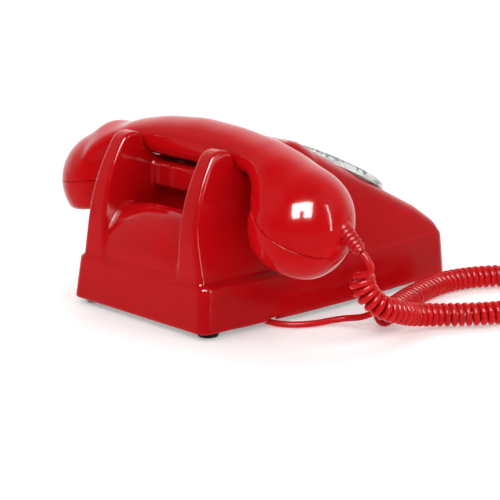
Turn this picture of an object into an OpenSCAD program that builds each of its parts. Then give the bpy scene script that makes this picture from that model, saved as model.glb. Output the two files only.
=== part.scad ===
// Desk telephone with a rotary dial, a lift-off handset and a curly handset cord.
// The dial faces -Y, the carrying fins are at +Y, and the cord end of the handset is at -X.
// The origin is on the surface that the feet stand on, under the middle of the set.

/* [Housing] */
// Depth of the housing at its bottom rim
body_d = 217; // [212:1:222]
// Half width of the housing where it is widest
body_hw = 64; // [62:0.5:65]
// How far the sides draw in per square millimetre from the widest place
side_bow = 0.00044; // [0.0003:0.00001:0.0005]
// Height of the bottom rim above the surface
rim_z = 3.5; // [3:0.1:4]
// Height of the plain lower skirt
skirt_z = 31; // [29:1:33]
// Wall thickness of the moulding
wall = 2.6; // [2.2:0.1:2.8]
// Height of the fins behind the handset
fin_z = 108; // [106:1:110]
// Half of the gap between the two fins
fin_gap = 35; // [34:0.5:36]

/* [Dial] */
// Slope of the dial from the horizontal
dial_tilt = 28.5; // [27:0.5:30]
// Radius of the raised ring that carries the numbers
ring_r = 47.5; // [46:0.5:48]
// Radius of the finger wheel
wheel_r = 38; // [37:0.5:38.5]
// Diameter of a finger hole
finger_d = 13.5; // [12:0.5:14]
// Radius of the circle that the finger holes sit on
hole_pitch_r = 28.5; // [28:0.5:29]

/* [Handset] */
// Distance of the mouth ball's centre from the middle of the set
ball_x = 86; // [85:0.5:87]
// Distance of the ear ball's centre from the middle of the set
ear_x = 87.8; // [87:0.1:88.5]
// Radius of the ball at the mouth end
ball_r = 31.5; // [31:0.5:32]
// Radius of the ball at the ear end
ear_r = 31.5; // [31:0.1:32]
// Height of the top of the handle
handle_top = 118; // [117:1:119]
// Tilt of the mouth cap from the vertical
cap_tilt = 29; // [27:1:31]
// Tilt of the ear cap from the vertical
ear_tilt = 10; // [8:1:12]
// How far the handset is lifted at the end of its stand-in slide
lift = 80; // [60:5:90]

/* [Cord] */
// Diameter of the cord itself
cord_d = 4; // [3.8:0.1:4.2]
// Outer diameter of the curly stretch
curl_d = 14.5; // [14:0.5:15]

/* [Hidden] */

red = [0.75, 0.03, 0.05];
steel = [0.72, 0.73, 0.75];
dark = [0.08, 0.08, 0.09];
clear_grey = [0.86, 0.88, 0.86];

half_d = body_d / 2;
widest_y = 30;
rear_more = 1;
hand_y = 55.3;
ball_z = 64.6;
ear_z = 66;
dial_y = -41;
dial_z = 73;
saddle_z = 90.2;
plate_z = 5.2;
plate_t = 2;
rear_foot = [53, 98.5];
front_foot = [49, -97.5];
foot_r = 6.4;
post_y = 90;
jack_y = 80;
coil_y = 42;
plunger_x = 27;
plunger_y = 49.5;
plunger_r = 3.5;
lever_y = 28;
lever_z = 58;
gong_x = 25;
gong_y = 72;
gong_z = 15.5;
gear_r = 21;
pinion_r = 4.2;
pinion_x = gear_r + pinion_r + 0.2;

// Half width of the housing's rim at a given depth
function hw(y) = body_hw - side_bow * pow(y - widest_y, 2);

// Outline at one level: inset from the sides, front and rear ends, corner radius (half at the rear)
function arc(cx, cy, r, a) = [for (i = [0:5]) [cx + r * cos(a + i * 18), cy + r * sin(a + i * 18)]];
function side(inset, y0, y1, s) =
    [for (i = [1:5]) let (y = y0 + (y1 - y0) * i / 6) [s * (hw(y) - inset), y]];
function outline(inset, y0, y1, r) = concat(
    arc(-hw(y0 + r) + inset + r, y0 + r, r, 180),
    arc(hw(y0 + r) - inset - r, y0 + r, r, 270),
    side(inset, y0 + r, y1 - r, 1),
    let (q = r / 2) arc(hw(y1 - q) - inset - q, y1 - q, q, 0),
    let (q = r / 2) arc(-hw(y1 - q) + inset + q, y1 - q, q, 90),
    side(inset, y1 - r, y0 + r, -1));

// A closed skin through a stack of outlines: each level is [z, inset, front, rear, radius]
module loft(levels) {
    rings = [for (v = levels) [for (q = outline(v[1], v[2], v[3], v[4])) [q[0], q[1], v[0]]]];
    n = len(rings[0]);
    polyhedron(
        points = [for (r = rings) for (q = r) q],
        faces = concat(
            [[for (i = [0:n - 1]) i]],
            [for (k = [0:len(rings) - 2]) for (i = [0:n - 1]) let (j = (i + 1) % n)
                [k * n + j, k * n + i, (k + 1) * n + i, (k + 1) * n + j]],
            [[for (i = [n - 1:-1:0]) (len(rings) - 1) * n + i]]));
}

// Skirt, then the narrower upper body; t shrinks the whole shape by the wall
module skirt(t) {
    loft([
        [rim_z - 0.5 * t, t, -half_d + t, half_d + rear_more - t, 12 - t],
        [skirt_z - 0.8 * t, 1.9 + t, -half_d + 1.7 + t, half_d + rear_more - 1.6 - t, 11 - t]]);
}
module upper(t) {
    loft([
        [rim_z + 4 - t, 3.6 + t, -half_d + 1.2 + t, half_d - 3 - t, 10 - t],
        [skirt_z, 6 + t, -half_d + 1.8 + t, half_d - 2.6 - t, 9 - t],
        [60, 11.6 + t, -half_d + 3 + t, half_d - 1 - t, 8 - t],
        [fin_z + 8, 17 + t, -half_d + 4 + t, half_d - t, 7 - t]]);
}

// Side view outlines, given as [y, z]; the sloped face carries the dial
slope = tan(dial_tilt);
function slope_z(y) = dial_z + slope * (y - dial_y);
front_edge = [[-half_d - 5, rim_z - 10], [-half_d - 5, 24], [-half_d + 0.5, 25.5],
    [-half_d + 3.5, 31.5], [-half_d + 10, 38.5], [-84, slope_z(-84)]];
brow = [[10, slope_z(10)], [18, 104.2], [24, 105.6], [30, 105.6], [35.4, 103.5], [38, 100.5]];
fin_edge = concat(
    [for (a = [200:10:340]) [hand_y + 18 * cos(a), 104.9 + 15 * sin(a)]],
    [[73.5, 104], [76, 107], [80, fin_z], [85, fin_z - 0.6], [89, 104.5], [93, 98], [97.5, 89],
     [101.5, 79], [104.5, 68], [106.5, 55], [107.5, skirt_z], [half_d + 5, skirt_z],
     [half_d + 5, rim_z - 10]]);
bulge = concat(
    [for (a = [0:10:80]) [84 + 23 * cos(a), skirt_z + 36.5 * sin(a)]],
    [[84, skirt_z + 36.5], [81, skirt_z + 35.6], [79, skirt_z + 33]]);
bulge_rear = [for (i = [len(bulge) - 1:-1:0]) bulge[i]];
box_edge = concat(
    [[39, 92], [42, 88], [64, 88], [66.5, 87], [67, 85], [67, 73.5], [66, 72.5], [58, 72.5],
     [57.5, 52], [60, 49.5], [76, 49.5], [78.5, 52]], bulge_rear,
    [[half_d + 5, skirt_z], [half_d + 5, rim_z - 10]]);

module prism(points, x0, x1) {
    translate([x1, 0, 0]) rotate([90, 0, -90]) linear_extrude(x1 - x0)
        polygon([for (q = points) [-q[0], q[1]]]);
}
module prism_in(points, x0, x1, t) {
    translate([x1, 0, 0]) rotate([90, 0, -90]) linear_extrude(x1 - x0) offset(delta = -t)
        polygon([for (q = points) [-q[0], q[1]]]);
}
fin_side = concat(front_edge, brow, fin_edge);
mid_side = concat(front_edge, brow, box_edge);

module at_dial() {
    translate([0, dial_y, dial_z]) rotate([dial_tilt, 0, 0]) children();
}

module housing_outer() {
    intersection() { skirt(0); translate([-100, -150, -20]) cube([200, 300, skirt_z + 20]); }
    intersection() {
        upper(0);
        union() {
            prism(mid_side, -fin_gap, fin_gap);
            for (s = [-1, 1]) prism(fin_side, s < 0 ? -80 : fin_gap, s < 0 ? -fin_gap : 80);
        }
    }
}
module housing_inner() {
    intersection() {
        skirt(wall);
        translate([-100, -150, -20]) cube([200, 300, skirt_z + 20 - wall]);
    }
    intersection() {
        upper(wall);
        union() {
            prism_in(mid_side, -fin_gap - 0.5, fin_gap + 0.5, wall);
            for (s = [-1, 1])
                prism_in(fin_side, s < 0 ? -80 : fin_gap + wall, s < 0 ? -fin_gap - wall : 80, wall);
        }
    }
}
module housing() {
    color(red) {
        difference() {
            housing_outer();
            housing_inner();
            translate([-100, -150, -10]) cube([200, 300, 10 + rim_z]);
            at_dial() translate([0, 0, -12]) cylinder(r = 42, h = 30, $fn = 96);
            for (s = [-1, 1]) translate([s * plunger_x, plunger_y, 80])
                cylinder(r = 4.4, h = 20, $fn = 48);
            translate([-body_hw - 2, hand_y + 1.7 - 3, 0]) cube([12, 6, 5]);
            translate([body_hw - 10, jack_y - 9, 8]) cube([20, 18, 14]);
        }
        screw_post(-post_y, 42);
        screw_post(post_y, 58);
    }
}
// Pillar under the shell that a base screw bites into
module screw_post(y, top) {
    translate([0, y, 0]) difference() {
        translate([0, 0, plate_z + plate_t]) cylinder(r = 4.5, h = top - plate_z, $fn = 48);
        translate([0, 0, plate_z]) cylinder(r = 1.5, h = 16, $fn = 32);
    }
}

module base_plate() {
    color(steel) difference() {
        loft([[plate_z, wall + 0.8, -half_d + wall + 0.8, half_d - wall - 0.8, 9],
              [plate_z + plate_t, wall + 1, -half_d + wall + 1, half_d - wall - 1, 8.8]]);
        for (s = [-1, 1]) {
            translate([0, s * post_y, 0]) cylinder(r = 1.8, h = 20, $fn = 32);
            translate([s * rear_foot[0], rear_foot[1], 0]) cylinder(r = 2.6, h = 20, $fn = 32);
            translate([s * front_foot[0], front_foot[1], 0]) cylinder(r = 2.6, h = 20, $fn = 32);
        }
        translate([-42, hand_y + 1.7, 0]) cylinder(r = 3.6, h = 20, $fn = 32);
    }
}

module foot(x, y) {
    color(dark) translate([x, y, 0]) {
        rotate_extrude($fn = 64) polygon([[0, 0], [foot_r - 0.8, 0], [foot_r, 0.8],
            [foot_r - 0.5, rim_z - 0.3], [3.4, rim_z - 0.3], [3.4, plate_z], [0, plate_z]]);
        translate([0, 0, plate_z - 1]) cylinder(r = 2.55, h = plate_t + 1.6, $fn = 32);
    }
}
module foot_rear_left() { foot(-rear_foot[0], rear_foot[1]); }
module foot_rear_right() { foot(rear_foot[0], rear_foot[1]); }
module foot_front_left() { foot(-front_foot[0], front_foot[1]); }
module foot_front_right() { foot(front_foot[0], front_foot[1]); }

module base_screw(y) {
    color(steel) translate([0, y, 0]) difference() {
        union() {
            translate([0, 0, plate_z - 2]) cylinder(r = 3.4, h = 2, $fn = 48);
            translate([0, 0, plate_z - 1]) cylinder(r = 1.45, h = 14, $fn = 32);
        }
        translate([-5, -0.4, plate_z - 2.5]) cube([10, 0.8, 1.3]);
    }
}
module base_screw_front() { base_screw(-post_y); }
module base_screw_rear() { base_screw(post_y); }

// Socket for the exchange line, seen through the square opening in the side wall at +X
module line_jack() {
    color(dark) difference() {
        translate([47.5, jack_y - 8.6, plate_z + plate_t]) cube([10, 17.2, 15.4]);
        translate([49.5, jack_y - 5.9, 11]) cube([20, 11.8, 8]);
        translate([49.5, jack_y - 2.2, 9.4]) cube([20, 4.4, 4]);
    }
}

// Rubber bush under the base that the tail of the handset cord goes into
module cord_grommet() {
    color(dark) translate([-42, hand_y + 1.7, 0]) difference() {
        union() {
            translate([0, 0, 0.6]) cylinder(r = 5.5, h = plate_z - 0.6, $fn = 48);
            translate([0, 0, plate_z - 1]) cylinder(r = 3.55, h = plate_t + 5, $fn = 48);
        }
        translate([-12, -cord_d / 2 - 0.1, -1]) cube([10, cord_d + 0.2, 1 + cord_d + 0.3]);
    }
}

module number_ring() {
    color(clear_grey) at_dial() rotate_extrude($fn = 128) polygon([
        [39.2, -0.2], [41.7, -0.2], [41.7, 0.3], [ring_r, 0.3], [ring_r, 2.4], [ring_r - 0.6, 4.4],
        [ring_r - 2, 5.2], [40.4, 4.2], [39.2, 3.6]]);
}
module dial_plate() {
    color([0.95, 0.95, 0.93]) at_dial() difference() {
        translate([0, 0, -0.9]) cylinder(r = 39, h = 1.5, $fn = 128);
        translate([0, 0, -5]) cylinder(r = 4.6, h = 10, $fn = 48);
    }
}
// Curved metal hook over the wheel, held down on the number ring
module finger_stop() {
    color(steel) at_dial() rotate([0, 0, -35]) difference() {
        union() {
            translate([25, -2.6, 5.4]) cube([20.5, 5.2, 1.4]);
            translate([25, 0, 5.4]) cylinder(r = 2.6, h = 1.4, $fn = 48);
            translate([43, -2.6, 5.2]) cube([2.5, 5.2, 1.6]);
        }
        translate([37, -6, 4]) cube([5, 3.6, 4]);
    }
}
module dial_case() {
    color(steel) at_dial() difference() {
        union() {
            translate([0, 0, -24]) cylinder(r = 35, h = 21.5, $fn = 96);
            translate([0, 0, -2.5]) cylinder(r = 38.8, h = 1.5, $fn = 96);
        }
        translate([0, 0, -22.6]) cylinder(r = 33.6, h = 25, $fn = 96);
        translate([0, 0, -30]) cylinder(r = 3.05, h = 10, $fn = 48);
        translate([pinion_x, 0, -30]) cylinder(r = 1.55, h = 10, $fn = 32);
    }
}
module dial_bridge() {
    color(steel) at_dial() difference() {
        union() {
            translate([-33.4, -5, -5]) cube([66.8, 10, 1.5]);
            for (s = [-1, 1]) translate([s * 31.8 - 1.5, -5, -22.5]) cube([3, 10, 18]);
        }
        translate([0, 0, -6]) cylinder(r = 3.05, h = 5, $fn = 48);
        translate([pinion_x, 0, -6]) cylinder(r = 1.55, h = 5, $fn = 32);
    }
}
module pulse_contacts() {
    color([0.75, 0.6, 0.3]) at_dial() {
        translate([-8, 23, -22.5]) cube([16, 7, 6]);
        for (k = [0:2]) translate([-7 + 5 * k, 24, -16.6]) cube([3.6, 0.6, 9]);
    }
}

module finger_wheel() {
    color(clear_grey) at_dial() difference() {
        translate([0, 0, 1.9]) rotate_extrude($fn = 128) polygon([[3.1, 0], [wheel_r - 0.8, 0],
            [wheel_r, 0.8], [wheel_r, 1.8], [wheel_r - 0.8, 2.6], [3.1, 2.6]]);
        for (k = [0:9]) rotate([0, 0, 25 + 30 * k]) translate([hole_pitch_r, 0, 0])
            cylinder(d = finger_d, h = 10, $fn = 48);
    }
}
module wheel_boss() {
    color(steel) at_dial() translate([0, 0, 4.5]) rotate_extrude($fn = 96)
        polygon([[3.1, 0], [19, 0], [18.4, 1.5], [16.6, 2], [15.6, 1.4], [3.1, 1.4]]);
}
module label_disc() {
    color([0.96, 0.96, 0.94]) at_dial() translate([0, 0, 5.9]) cylinder(r = 15.4, h = 0.5, $fn = 96);
}
module dial_shaft() {
    color(steel) at_dial() {
        translate([0, 0, -24.5]) cylinder(r = 3, h = 30.4, $fn = 48);
        translate([0, 0, 0.7]) cylinder(r = 4.4, h = 1.2, $fn = 48);
    }
}
module gear(r, teeth, h) {
    linear_extrude(h) union() {
        circle(r = r - 1, $fn = 96);
        for (k = [0:teeth - 1]) rotate(k * 360 / teeth)
            polygon([[r - 1.4, -0.62], [r + 0.5, -0.24], [r + 0.5, 0.24], [r - 1.4, 0.62]]);
    }
}
module main_gear() {
    color([0.8, 0.65, 0.3]) at_dial() translate([0, 0, -12]) difference() {
        gear(gear_r - 0.3, 50, 1.6);
        translate([0, 0, -1]) cylinder(r = 3, h = 4, $fn = 48);
    }
}
module governor_shaft() {
    color(steel) at_dial() translate([pinion_x, 0, 0]) {
        translate([0, 0, -23.8]) cylinder(r = 1.5, h = 20.5, $fn = 32);
        rotate([0, 0, 18]) translate([0, 0, -12]) gear(pinion_r - 0.3, 10, 1.6);
    }
}
module governor_weights() {
    color([0.8, 0.65, 0.3]) at_dial() translate([pinion_x, 0, -20.6]) difference() {
        union() {
            cylinder(r = 3, h = 4, $fn = 48);
            for (s = [-1, 1]) translate([s * 3.2, 0, 0]) cylinder(r = 1.5, h = 4, $fn = 48);
        }
        translate([0, 0, -1]) cylinder(r = 1.5, h = 6, $fn = 32);
    }
}

// Cradle plungers: held down by the handset, they rise as it is lifted
module plunger(x) {
    color([0.9, 0.9, 0.88]) translate([x, plunger_y, 0]) {
        translate([0, 0, 59.1]) cylinder(r = plunger_r, h = 30.7, $fn = 48);
        translate([0, 0, 89.8]) rotate_extrude($fn = 48)
            polygon([[0, 0], [plunger_r, 0], [plunger_r - 0.9, 1], [0, 1]]);
    }
}
module plunger_left() { plunger(-plunger_x); }
module plunger_right() { plunger(plunger_x); }
module plunger_guide(x) {
    color(steel) translate([x, plunger_y, 68]) difference() {
        cylinder(r = 4.4, h = 20.4, $fn = 48);
        translate([0, 0, -1]) cylinder(r = plunger_r + 0.05, h = 30, $fn = 48);
    }
}
module plunger_guide_left() { plunger_guide(-plunger_x); }
module plunger_guide_right() { plunger_guide(plunger_x); }
module hook_lever() {
    color(steel) difference() {
        union() {
            translate([-32, plunger_y - 4, lever_z - 0.8]) cube([64, 7.5, 1.6]);
            for (s = [-1, 1]) translate([s * 20 - 3, lever_y, lever_z - 0.8])
                cube([6, plunger_y - lever_y - 2, 1.6]);
            translate([-23, lever_y, lever_z]) rotate([0, 90, 0]) cylinder(r = 3, h = 46, $fn = 48);
        }
        translate([-30, lever_y, lever_z]) rotate([0, 90, 0]) cylinder(r = 1.55, h = 60, $fn = 32);
    }
}
module hook_switch() {
    color(steel) {
        translate([-30, lever_y, lever_z]) rotate([0, 90, 0]) cylinder(r = 1.5, h = 60, $fn = 32);
        for (s = [-1, 1]) translate([s * 28 - 2, lever_y - 5, plate_z + plate_t])
            cube([4, 10, lever_z - plate_z + 2]);
        translate([-28, lever_y - 5, plate_z + plate_t]) cube([56, 10, 3]);
    }
}

module circuit_board() {
    color([0.45, 0.35, 0.12]) {
        translate([-42, -84, 14]) cube([84, 96, 1.6]);
        for (x = [-38, 34], y = [-80, 4]) translate([x, y, plate_z + plate_t])
            cube([4, 4, 14 - plate_z - plate_t]);
    }
}
module induction_coil() {
    color(dark) translate([-14, -76, 15.6]) {
        cube([28, 26, 4]);
        translate([4, 3, 4]) cube([20, 20, 10]);
    }
}
module capacitor() {
    color([0.75, 0.75, 0.7]) translate([22, 0, 22]) rotate([90, 0, 0])
        cylinder(r = 6.4, h = 38, $fn = 48);
}

module gong(x) {
    color([0.78, 0.7, 0.45]) translate([x, gong_y, gong_z]) rotate_extrude($fn = 96) polygon([
        [2, 13], [9, 13], [15, 11.4], [19, 8], [21, 3], [21.5, 0], [20.5, 0], [20, 2.8],
        [18.2, 7.2], [14.6, 10.4], [9, 11.8], [2, 11.8]]);
}
module gong_left() { gong(-gong_x); }
module gong_right() { gong(gong_x); }
module gong_post(x) {
    color(steel) translate([x, gong_y, plate_z + plate_t]) {
        cylinder(r = 4, h = gong_z + 11.8 - plate_z - plate_t, $fn = 48);
        cylinder(r = 1.95, h = gong_z + 14.8 - plate_z - plate_t, $fn = 48);
    }
}
module gong_post_left() { gong_post(-gong_x); }
module gong_post_right() { gong_post(gong_x); }
// Two windings on one yoke; the armature pivot stands between them
module ringer_coils() {
    color([0.7, 0.35, 0.15]) {
        for (s = [-1, 1]) translate([s * 13, coil_y, plate_z + plate_t])
            cylinder(r = 7.5, h = 22, $fn = 48);
        translate([-20, coil_y - 5, plate_z + plate_t]) cube([40, 10, 1.6]);
        translate([0, coil_y, plate_z + plate_t]) cylinder(r = 1.5, h = 27, $fn = 32);
    }
}
module clapper() {
    color(steel) difference() {
        union() {
            translate([0, coil_y, 30.6]) cylinder(r = 3, h = 3, $fn = 48);
            translate([-19, coil_y - 1.6, 30.6]) cube([38, 3.2, 1.6]);
            translate([-0.8, coil_y + 1, 31]) cube([1.6, gong_y + 1 - coil_y, 1.2]);
            translate([0, gong_y + 2, gong_z + 0.5]) cylinder(r = 2, h = 16.2, $fn = 48);
        }
        translate([0, coil_y, 20]) cylinder(r = 1.55, h = 20, $fn = 32);
    }
}

// Centre, radius and cap tilt of an end ball; s is -1 for the mouth end and 1 for the ear end
function end_at(s) = s < 0 ? [-ball_x, hand_y, ball_z] : [ear_x, hand_y, ear_z];
function end_r(s) = s < 0 ? ball_r : ear_r;
function end_tilt(s) = s < 0 ? -cap_tilt : ear_tilt;

// Frame of an end ball, with +Z along the direction that its cap faces
module at_cap(s) {
    translate(end_at(s)) rotate([0, 180 + end_tilt(s), 0]) children();
}
module handle_slice(x, top, low, half) {
    translate([x, hand_y, (top + low) / 2]) rotate([0, 90, 0])
        scale([(top - low) / 2 / half, 1, 1]) cylinder(r = half, h = 0.2, center = true, $fn = 40);
}
module handset_handle() {
    seam = 2.6;
    color(red) difference() {
        union() {
            hull() {
                handle_slice(0, handle_top, 90.6, 15.5);
                for (s = [-1, 1]) {
                    handle_slice(s * 32, handle_top - (s < 0 ? 1.6 : 2.6), 90.6, 15.6);
                    handle_slice(s * 60, handle_top - (s < 0 ? 6 : 8), 90.8, 16);
                }
            }
            for (s = [-1, 1]) hull() {
                handle_slice(s * 59.5, handle_top - (s < 0 ? 6 : 8), 90.8, 17);
                translate(end_at(s) + [-12 * s, 0, 19.5]) sphere(r = 21.5, $fn = 36);
                translate(end_at(s)) sphere(r = end_r(s), $fn = 60);
            }
        }
        for (s = [-1, 1]) at_cap(s) {
            translate([0, 0, -seam]) cylinder(r = 60, h = 60, $fn = 64);
            translate([0, 0, -10]) cylinder(r = 25, h = 20, $fn = 64);
        }
    }
}
// Screwed cap: a slice of the ball from the seam to a flat face with sound holes
module cap(s, face) {
    seam = 2.5;
    color(red) at_cap(s) difference() {
        intersection() {
            sphere(r = end_r(s), $fn = 96);
            translate([0, 0, -seam]) cylinder(r = 40, h = face + seam, $fn = 96);
        }
        translate([0, 0, -seam - 1]) cylinder(r = 24.2, h = face + seam - 3, $fn = 64);
        for (k = [0:5]) rotate([0, 0, 60 * k]) translate([8, 0, 0]) cylinder(r = 1.5, h = 40, $fn = 24);
        cylinder(r = 1.5, h = 40, $fn = 24);
    }
}
module ear_cap() { cap(1, 16.5); }
module mouth_cap() { cap(-1, 21); }
module ear_capsule() {
    color(steel) at_cap(1) {
        translate([0, 0, -8]) cylinder(r = 23.6, h = 16, $fn = 64);
    }
}
module mouth_capsule() {
    color(dark) at_cap(-1) {
        translate([0, 0, -8]) cylinder(r = 23.6, h = 22, $fn = 64);
    }
}

// Ribbed rubber sleeve where the cord leaves the mouth end of the handset
relief_p = [-111, 49.5, 70.5];
relief_l = 22;
module at_relief() {
    translate(relief_p) rotate([0, 0, 194]) rotate([0, 134, 0]) children();
}
module cord_relief() {
    color(red) difference() {
        at_relief() rotate_extrude($fn = 48) polygon(concat([[0, 0], [5.2, 0]],
            [for (k = [0:5]) for (q = [[5.3, 4.2], [5.3, 6], [4.5, 6.2], [4.5, 6.9]])
                [q[0] - 0.22 * k, q[1] + 2.7 * k]],
            [[3.1, relief_l], [0, relief_l]]));
        translate([-ball_x, hand_y, ball_z]) sphere(r = ball_r + 0.02, $fn = 96);
    }
}

// A tube swept along a route of hand-placed points, with one ring at each point
function unit(v) = v / norm(v);
function lerp(a, b, t) = a + (b - a) * t;
function catmull(p, i, t) = let (n = len(p) - 1,
    a = p[max(i - 1, 0)], b = p[i], c = p[min(i + 1, n)], d = p[min(i + 2, n)])
    0.5 * ((2 * b) + (c - a) * t + (2 * a - 5 * b + 4 * c - d) * t * t
        + (3 * b - a - 3 * c + d) * t * t * t);
function smooth(p, k) = concat(
    [for (i = [0:len(p) - 2]) for (j = [0:k - 1]) catmull(p, i, j / k)], [p[len(p) - 1]]);
module tube(p, d, sides) {
    n = len(p);
    dirs = [for (i = [0:n - 1]) unit(p[min(i + 1, n - 1)] - p[max(i - 1, 0)])];
    rings = [for (i = [0:n - 1]) let (
        across = unit(cross([0, 0.12, 1], dirs[i])), up = cross(dirs[i], across))
        [for (k = [0:sides - 1]) p[i] + d / 2 * (cos(360 * k / sides) * across
            + sin(360 * k / sides) * up)]];
    polyhedron(
        points = [for (r = rings) for (q = r) q],
        faces = concat(
            [[for (k = [sides - 1:-1:0]) k]],
            [for (i = [0:n - 2]) for (k = [0:sides - 1]) let (m = (k + 1) % sides)
                [i * sides + k, i * sides + m, (i + 1) * sides + m, (i + 1) * sides + k]],
            [[for (k = [0:sides - 1]) (n - 1) * sides + k]]));
}
lead_route = [[-126.5, 45.6, 55.2], [-130, 44.6, 51.5], [-133, 43.5, 47], [-134.5, 42.5, 41.5],
    [-134.4, 41.5, 38]];
curl_route = [[-124, 42, 44], [-125, 41, 36], [-129, 38, 28], [-132, 30, 21], [-131, 17, 15],
    [-128, 3, 10.5], [-131, -11, 8.2], [-138, -23, 7.6], [-147, -36, 7.5], [-154, -50, 7.5],
    [-161, -68, 7.5], [-163, -88, 7.5], [-159, -107, 7.5], [-149, -123, 7.5], [-134, -132, 7.5],
    [-117, -131, 7.5], [-103, -122, 7.5], [-93, -109, 7.5], [-86, -94, 7.5], [-83, -76, 7.5],
    [-86, -56, 7.5], [-92, -36, 7.5], [-99, -17, 7.5], [-106, -1, 7.5], [-111, 12, 7.5]];
tail_route = [[-108, 17, 6.5], [-100, 17.5, 6], [-92, 21, 4.6], [-86, 29, 3], [-82, 40, 2.4],
    [-76, 50, 2.3], [-68, 55.5, 2.3], [-58, 57, 2.3], [-44, 57, 2.3]];
module cord_lead() { color(red) tube(smooth(lead_route, 2), cord_d, 8); }
module cord_curl() { color(red) tube(smooth(curl_route, 2), curl_d, 12); }
module cord_tail() { color(red) tube(smooth(tail_route, 2), cord_d, 8); }

housing();
base_plate();
foot_rear_left();
foot_rear_right();
foot_front_left();
foot_front_right();
base_screw_front();
base_screw_rear();
line_jack();
cord_grommet();
number_ring();
dial_plate();
finger_stop();
dial_case();
dial_bridge();
pulse_contacts();
finger_wheel();
wheel_boss();
label_disc();
dial_shaft();
main_gear();
governor_shaft();
governor_weights();
plunger_left();
plunger_right();
plunger_guide_left();
plunger_guide_right();
hook_lever();
hook_switch();
circuit_board();
induction_coil();
capacitor();
gong_left();
gong_right();
gong_post_left();
gong_post_right();
ringer_coils();
clapper();
handset_handle();
ear_cap();
mouth_cap();
ear_capsule();
mouth_capsule();
cord_relief();
cord_lead();
cord_curl();
cord_tail();
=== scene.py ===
"""A desk telephone with a rotary dial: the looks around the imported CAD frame.

Every piece is worked out in millimetres and turned into metres when its mesh is made.
"""
import math

import bmesh
import bpy
import numpy as np
from mathutils import Matrix, Vector


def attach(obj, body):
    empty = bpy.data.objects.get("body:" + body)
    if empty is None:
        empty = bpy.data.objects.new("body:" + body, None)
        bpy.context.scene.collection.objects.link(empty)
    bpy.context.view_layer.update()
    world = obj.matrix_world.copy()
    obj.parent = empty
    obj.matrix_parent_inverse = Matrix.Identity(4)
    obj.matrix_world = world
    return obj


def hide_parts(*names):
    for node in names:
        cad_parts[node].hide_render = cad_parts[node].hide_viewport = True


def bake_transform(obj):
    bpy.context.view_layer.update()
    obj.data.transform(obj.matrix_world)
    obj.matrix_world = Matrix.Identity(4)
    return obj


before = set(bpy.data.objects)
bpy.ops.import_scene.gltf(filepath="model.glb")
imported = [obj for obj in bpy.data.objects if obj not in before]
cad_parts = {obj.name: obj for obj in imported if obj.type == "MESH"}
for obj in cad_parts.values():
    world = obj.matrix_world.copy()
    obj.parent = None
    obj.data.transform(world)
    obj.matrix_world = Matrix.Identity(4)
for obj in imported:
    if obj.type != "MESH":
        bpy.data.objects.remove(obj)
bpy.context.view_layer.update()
scene = bpy.context.scene
MM = 0.001

# Camera ------------------------------------------------------------------------------------
CAMERA_AT = (-0.905, 0.8434, 0.3329)
CAMERA_TURN = 42.41
CAMERA_DIP = 13.94
LENS = 144
SENSOR = 36


def direction(turn, dip):
    """The way that something looks: turn is from +X towards -Y and dip is below the horizon."""
    turn, dip = math.radians(turn), math.radians(dip)
    return Vector((math.cos(turn) * math.cos(dip), -math.sin(turn) * math.cos(dip), -math.sin(dip)))


def make_camera():
    """The camera, behind the telephone and to its left."""
    data = bpy.data.cameras.new("camera")
    data.lens, data.sensor_width = LENS, SENSOR
    camera = bpy.data.objects.new("camera", data)
    camera.location = CAMERA_AT
    camera.rotation_mode = "QUATERNION"
    camera.rotation_quaternion = direction(CAMERA_TURN, CAMERA_DIP).to_track_quat("-Z", "Y")
    scene.collection.objects.link(camera)
    scene.camera = camera


make_camera()


# Meshes ------------------------------------------------------------------------------------
def add_mesh(name, points, faces, matrix=None):
    """A smooth-shaded mesh object from points in millimetres."""
    mesh = bpy.data.meshes.new(name)
    mesh.from_pydata([tuple(p) for p in np.asarray(points, float) * MM], [], faces)
    if matrix is not None:
        scaled = matrix.copy()
        scaled.translation = matrix.translation * MM
        mesh.transform(scaled)
    mesh.validate()
    mesh.update()
    mesh.polygons.foreach_set("use_smooth", [True] * len(mesh.polygons))
    piece = bpy.data.objects.new(name, mesh)
    scene.collection.objects.link(piece)
    return piece


def blur(table, sigma, axis):
    """A Gaussian blur of a table along one axis; sigma is in cells."""
    reach = int(3 * sigma + 1)
    pad = [(0, 0)] * table.ndim
    pad[axis] = (reach, reach)
    padded = np.pad(table, pad, mode="reflect", reflect_type="odd")
    out = np.zeros_like(table)
    total = 0.0
    for k in range(-reach, reach + 1):
        weight = math.exp(-0.5 * (k / sigma) ** 2)
        part = [slice(None)] * table.ndim
        part[axis] = slice(reach + k, reach + k + table.shape[axis])
        out += weight * padded[tuple(part)]
        total += weight
    return out / total


def smax(a, b, k):
    """The larger of two distances, with an edge that is rounded over about k."""
    h = np.maximum(k - np.abs(a - b), 0) / k
    return np.maximum(a, b) + h * h * k / 4


def smin(a, b, k):
    """The smaller of two distances, with the same rounding."""
    return -smax(-a, -b, k)


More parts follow.
